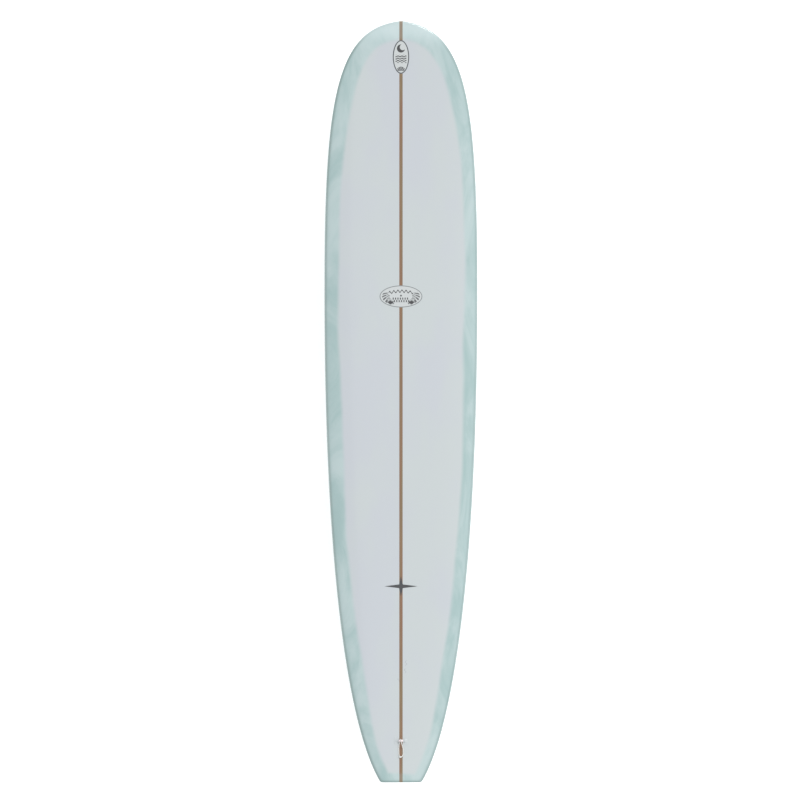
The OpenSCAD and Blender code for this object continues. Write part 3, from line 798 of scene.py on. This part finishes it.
base = block(
    (FIN_THICKNESS, FIN_FRONT - FIN_BACK, FIN_BASE_DEPTH),
    (0, (FIN_FRONT + FIN_BACK) / 2, FIN_BASE_DEPTH / 2), 0.0006,
)
tab = block(
    (FIN_THICKNESS, TAB_LENGTH + 0.002, TAB_THICKNESS),
    (0, FIN_FRONT + TAB_LENGTH / 2 - 0.001, TAB_THICKNESS / 2), 0.0004,
)
deselect()
bpy.ops.mesh.primitive_cylinder_add(vertices=64, radius=COUNTERBORE_RADIUS, depth=COUNTERBORE_DEPTH)
placed(BOX_FRAME @ Matrix.Translation((0, SCREW_Y, 0)))
counterbore = bpy.context.object
deselect()
tab.select_set(True)
bpy.context.view_layer.objects.active = tab
apply_modifier("BOOLEAN", operation="DIFFERENCE", object=counterbore, solver="EXACT")
bpy.data.objects.remove(counterbore)
blade.select_set(True)
base.select_set(True)
bpy.context.view_layer.objects.active = blade
bpy.ops.object.join()
smooth(35)
finished("fin_blade", "fin_and_pin", fin_finish(), "fin_laminate", "fin")


# ---- Leash loop ----

LOOP_HALF_WIDTH, LOOP_HALF_THICKNESS, LOOP_RADIUS, DECK_GAP = 0.004, 0.00175, 0.01025, 0.0003
FOOT_END, ARCH_START, ARCH_STEPS = 0.0235, 0.24, 25
ROVING_SIDES, ROVING_SQUARE = 24, 3.2


def loop_centre_line():
    """From one foot's end, up over the crown and down to the other: points and half thicknesses, in x and z."""
    arch = [
        (LOOP_RADIUS * math.cos(a), DECK_GAP + LOOP_RADIUS * math.sin(a), LOOP_HALF_THICKNESS)
        for a in np.linspace(ARCH_START, math.pi - ARCH_START, ARCH_STEPS)
    ]
    foot = [
        (FOOT_END, DECK_GAP + 0.0002, 0.0001), (FOOT_END - 0.003, DECK_GAP + 0.0004, 0.0003),
        (FOOT_END - 0.0075, DECK_GAP + 0.0007, 0.0006), (0.0128, DECK_GAP + 0.001, 0.001),
    ]
    return foot + arch + [(-x, z, h) for x, z, h in reversed(foot)]


def roving_point(column, row):
    """Columns go round the strip's section, rows along it."""
    line = loop_centre_line()
    x, z, half = line[row]
    ahead, behind = line[min(row + 1, len(line) - 1)], line[max(row - 1, 0)]
    along = Vector((ahead[0] - behind[0], 0, ahead[1] - behind[1])).normalized()
    up = along.cross(Vector((0, 1, 0)))
    turn = 2 * math.pi * column / ROVING_SIDES
    square = 2 / ROVING_SQUARE
    across = math.copysign(abs(math.cos(turn)) ** square, math.cos(turn)) * LOOP_HALF_WIDTH
    rise = math.copysign(abs(math.sin(turn)) ** square, math.sin(turn)) * half
    return LEASH_FRAME @ (Vector((x, 0, z)) + Vector((0, 1, 0)) * across + up * rise)


loop = shaped_grid(ROVING_SIDES, len(loop_centre_line()) - 1, roving_point)
bpy.ops.object.mode_set(mode="EDIT")
bpy.ops.mesh.select_all(action="SELECT")
bpy.ops.mesh.remove_doubles(threshold=0.00001)
bpy.ops.mesh.select_all(action="DESELECT")
bpy.ops.mesh.select_non_manifold()
bpy.ops.mesh.edge_face_add()
bpy.ops.mesh.select_all(action="SELECT")
bpy.ops.mesh.normals_make_consistent(inside=False)
bpy.ops.object.mode_set(mode="OBJECT")
smooth(50)
finished("leash_loop_rovings", "board", loop_finish(), "loop_laminate", "leash_loop")


# The cloth patches drape over the loop's feet and feather out on the deck round them.
PATCH_NEAR, PATCH_FAR, PATCH_HALF = 0.0124, 0.0256, 0.013
PATCH_FILM, PATCH_CORNER, FOOT_TOP = 0.0003, 0.16, 0.0023
PATCH_COLUMNS, PATCH_ROWS = 26, 52


def rise_between(value, start, end):
    share = min(1, max(0, (value - start) / (end - start)))
    return share * share * (3 - 2 * share)


def patch(side):
    """One cloth patch, over the foot on this side of the stringer."""

    def place(column, row):
        u, v = 2 * column / PATCH_COLUMNS - 1, 2 * row / PATCH_ROWS - 1
        half = (PATCH_FAR - PATCH_NEAR) / 2
        x = PATCH_NEAR + half * (1 + u * math.sqrt(1 - PATCH_CORNER * v * v))
        y = PATCH_HALF * v * math.sqrt(1 - PATCH_CORNER * u * u)
        over_foot = FOOT_TOP * (1 - rise_between(x, 0.0115, 0.0245)) * (1 - rise_between(abs(y), 0.0036, 0.0075))
        film = PATCH_FILM * rise_between(min(1 - abs(u), 1 - abs(v)), 0, 0.2)
        return LEASH_FRAME @ Vector((side * x, y, 0.0002 + film + over_foot))

    piece = shaped_grid(PATCH_COLUMNS, PATCH_ROWS, place)
    apply_modifier("SOLIDIFY", thickness=PATCH_FILM, offset=-1)
    return piece


left_patch, right_patch = patch(-1), patch(1)
deselect()
left_patch.select_set(True)
right_patch.select_set(True)
bpy.context.view_layer.objects.active = right_patch
bpy.ops.object.join()
bpy.ops.object.mode_set(mode="EDIT")
bpy.ops.mesh.select_all(action="SELECT")
bpy.ops.mesh.normals_make_consistent(inside=False)
bpy.ops.object.mode_set(mode="OBJECT")
smooth(60)
finished(
    "leash_loop_patch_cloths", "board", glassed_finish("patch_glass", "none"), "clear_glass_cloth",
    "leash_loop_patches",
)


# ---- Finishes of the frame's own pieces ----


def dress(name, finish):
    piece = node[name]
    if not piece.material_slots:
        piece.data.materials.append(finish)
    for holder in piece.material_slots:
        holder.material = finish


foam = foam_finish()
dress("blank_left", foam)
dress("blank_right", foam)
dress("stringer", wood_finish())
dress("fin_box", moulded_finish("box_plastic", srgb(226, 228, 226), srgb(206, 210, 208)))
dress("fin_box_resin", moulded_finish("box_resin", srgb(196, 222, 218), srgb(168, 200, 196), 0.3, 300, 1.0))
dress("fin_pin", metal_finish("pin_brass", srgb(214, 178, 104), srgb(170, 132, 72), 0.25))
steel = metal_finish("stainless", srgb(206, 206, 202), srgb(170, 170, 168), 0.22)
dress("fin_plate", steel)
dress("fin_screw", steel)
# Each decal's centre along the board, half sizes across and along it, and its ring's width.
NOSE_OVAL, CENTRE_OVAL = (1.312, 0.0315, 0.0635, 0.0042), (0.402, 0.0815, 0.042, 0.003)
dress("nose_decal", decal_finish("nose_decal_print", *NOSE_OVAL, PRINT_DARK, moon_and_waves))
dress("centre_decal", decal_finish("centre_decal_print", *CENTRE_OVAL, PRINT_GREY, sprays_and_scroll))
dress("tail_decal", ink_finish())


# ---- Floor and light ----

deselect()
FLOOR_SIZE, FLOOR_GLOW = 30, 0.4
bpy.ops.mesh.primitive_plane_add(size=FLOOR_SIZE, location=(0, 0, low.z - 0.0005))
floor = bpy.context.object
floor.name = "floor"
paper = Finish("floor_paper", roughness=0.9, emission_color=(1, 1, 1, 1), emission_strength=FLOOR_GLOW)
grain = paper.noise((3, 3, 3))
floor.data.materials.append(
    paper.feed(base_color=paper.mix(grain, (0.93, 0.93, 0.93), (0.95, 0.95, 0.95)))
)
floor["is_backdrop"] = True


def soft_sun(name, comes_from, width, share):
    """A distant light of this angular width that lights a level surface by this share of white."""
    light = bpy.data.objects.new(name, bpy.data.lights.new(name, "SUN"))
    towards = Vector(comes_from).normalized()
    light.data.angle, light.data.energy = math.radians(width), share * math.pi / towards.z
    light.rotation_euler = towards.to_track_quat("Z", "Y").to_euler()
    bpy.context.collection.objects.link(light)


soft_sun("key", (0.36, 0.6, 0.71), 26, 0.27)
soft_sun("side_fill", (0.5, 0.1, 0.85), 80, 0.1)

scene = bpy.context.scene
scene.view_settings.view_transform = "Standard"
scene.world = bpy.data.worlds.new("studio")
scene.world.use_nodes = True
sky = scene.world.node_tree.nodes["Background"]
sky.inputs["Color"].default_value, sky.inputs["Strength"].default_value = (0.98, 0.99, 1.0, 1), 0.765

low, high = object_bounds()
